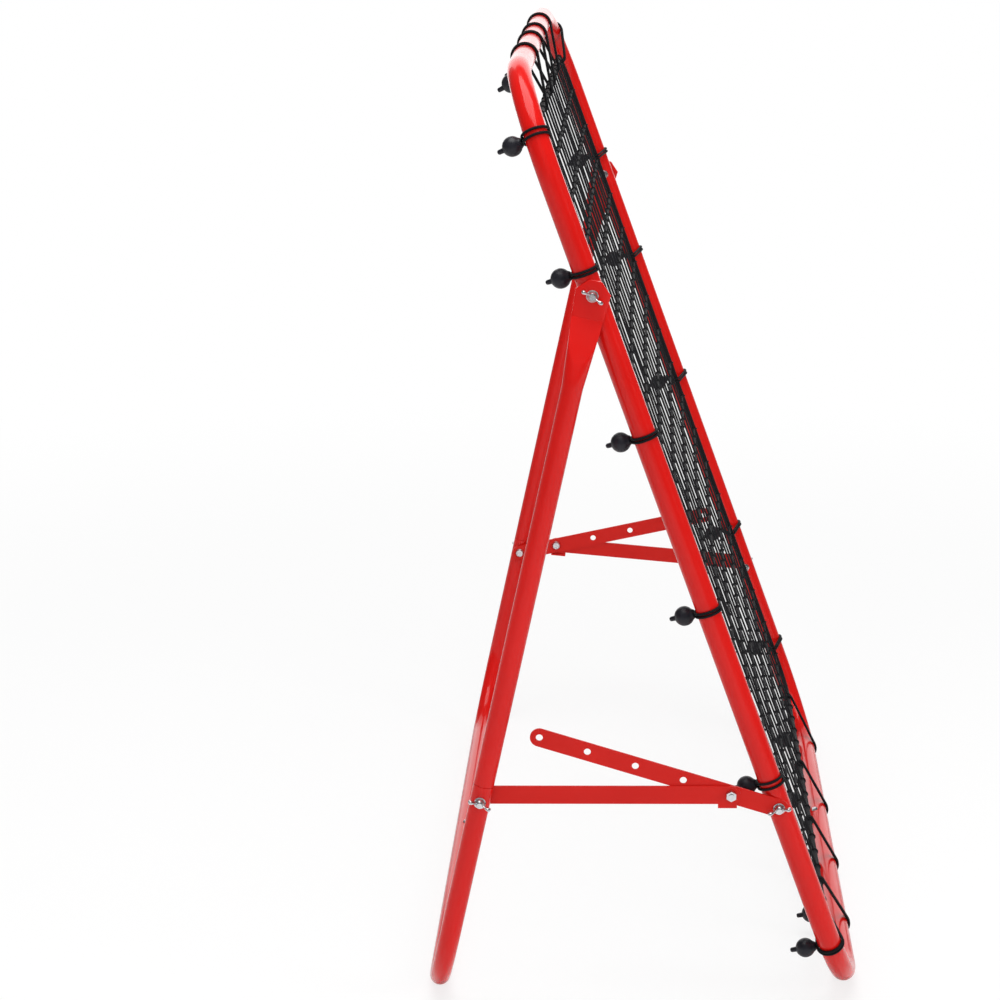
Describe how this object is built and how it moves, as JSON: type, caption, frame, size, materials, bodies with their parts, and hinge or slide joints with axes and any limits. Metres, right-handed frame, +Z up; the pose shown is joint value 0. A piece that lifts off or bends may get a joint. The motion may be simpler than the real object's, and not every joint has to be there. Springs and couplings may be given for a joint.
{
  "type": "soccer rebounder",
  "caption": "Folding soccer rebounder: red tube frame with a bungee-hung black net on an adjustable rear support.",
  "frame": {"origin": "middle of the footprint's bounding box, on the floor, with the brace bolts in their first holes", "axes": "+X along the rails, +Z up, playing face towards -Y, rear support towards +Y"},
  "size_m": [0.984, 0.4778, 1.0228],
  "materials": {
    "red_tube": "gloss powder coat",
    "red_bar": "satin powder coat",
    "zinc": "bright zinc plating",
    "net_twine": "matte knotted twine",
    "border_cord": "braided cord",
    "elastic_cord": "braided elastic",
    "black_plastic": "moulded"
  },
  "bodies": {
    "front_frame": {"front_tube_top_left": "red_tube", "front_tube_top_right": "red_tube", "front_tube_bottom_left": "red_tube", "front_tube_bottom_right": "red_tube", "front_joint_screws": "zinc", "hinge_bolts": "zinc", "stile_bolts": "zinc", "front_washers": "zinc", "net": "net_twine", "net_border": "border_cord", "bungee_cords_left": "elastic_cord", "bungee_cords_right": "elastic_cord", "bungee_cords_top": "elastic_cord", "bungee_cords_bottom": "elastic_cord", "bungee_balls_left": "black_plastic", "bungee_balls_right": "black_plastic", "bungee_balls_top": "black_plastic", "bungee_balls_bottom": "black_plastic"},
    "rear_support": {"rear_leg_left": "red_tube", "rear_leg_right": "red_tube", "rear_corner_left": "red_tube", "rear_corner_right": "red_tube", "rear_joint_screw": "zinc", "leg_bolts": "zinc", "rear_washers": "zinc"},
    "plain_bar_l": {"plain_bar_left": "red_bar", "brace_nut_left": "zinc"},
    "plain_bar_r": {"plain_bar_right": "red_bar", "brace_nut_right": "zinc"},
    "holed_bar_l": {"holed_bar_left": "red_bar", "brace_bolt_left": "zinc"},
    "holed_bar_r": {"holed_bar_right": "red_bar", "brace_bolt_right": "zinc"},
    "hinge_nut_left": {"hinge_wing_nut_left": "zinc"},
    "hinge_nut_right": {"hinge_wing_nut_right": "zinc"},
    "stile_nut_left": {"stile_wing_nut_left": "zinc"},
    "stile_nut_right": {"stile_wing_nut_right": "zinc"},
    "leg_nut_left": {"leg_wing_nut_left": "zinc"},
    "leg_nut_right": {"leg_wing_nut_right": "zinc"}
  },
  "joints": [
    {"name": "support_fold", "type": "hinge", "parent": "front_frame", "child": "rear_support", "pos_m": [0, 0.06888, 0.79198], "axis": [1, 0, 0], "range_deg": [0, 22.7]},
    {"name": "plain_bar_left_turn", "type": "hinge", "parent": "rear_support", "child": "plain_bar_l", "pos_m": [-0.4567, 0.17881, 0.25205], "axis": [1, 0, 0], "range_deg": [-19.87, 0]},
    {"name": "holed_bar_left_turn", "type": "hinge", "parent": "front_frame", "child": "holed_bar_l", "pos_m": [-0.4545, -0.13705, 0.24442], "axis": [1, 0, 0], "range_deg": [0, 2.88]},
    {"name": "plain_bar_right_turn", "type": "hinge", "parent": "front_frame", "child": "plain_bar_r", "pos_m": [0.4567, -0.13705, 0.24442], "axis": [1, 0, 0], "range_deg": [0, 14.6]},
    {"name": "holed_bar_right_turn", "type": "hinge", "parent": "rear_support", "child": "holed_bar_r", "pos_m": [0.4545, 0.17881, 0.25205], "axis": [1, 0, 0], "range_deg": [-8.15, 0]},
    {"name": "hinge_nut_left_spin", "type": "hinge", "parent": "front_frame", "child": "hinge_nut_left", "pos_m": [-0.461, 0.06888, 0.79198], "axis": [1, 0, 0], "continuous": true},
    {"name": "hinge_nut_right_spin", "type": "hinge", "parent": "front_frame", "child": "hinge_nut_right", "pos_m": [0.461, 0.06888, 0.79198], "axis": [1, 0, 0], "continuous": true},
    {"name": "stile_nut_left_spin", "type": "hinge", "parent": "front_frame", "child": "stile_nut_left", "pos_m": [-0.46, -0.13705, 0.24442], "axis": [1, 0, 0], "continuous": true},
    {"name": "stile_nut_right_spin", "type": "hinge", "parent": "front_frame", "child": "stile_nut_right", "pos_m": [0.4622, -0.13705, 0.24442], "axis": [1, 0, 0], "continuous": true},
    {"name": "leg_nut_left_spin", "type": "hinge", "parent": "rear_support", "child": "leg_nut_left", "pos_m": [-0.4845, 0.17881, 0.25205], "axis": [1, 0, 0], "continuous": true},
    {"name": "leg_nut_right_spin", "type": "hinge", "parent": "rear_support", "child": "leg_nut_right", "pos_m": [0.4845, 0.17881, 0.25205], "axis": [1, 0, 0], "continuous": true}
  ],
  "couplings": [
    {"joint": "plain_bar_left_turn", "follows": "support_fold", "ratio": -0.87404},
    {"joint": "holed_bar_left_turn", "follows": "support_fold", "ratio": 0.12596},
    {"joint": "plain_bar_right_turn", "follows": "support_fold", "ratio": 0.64211},
    {"joint": "holed_bar_right_turn", "follows": "support_fold", "ratio": -0.35789}
  ]
}
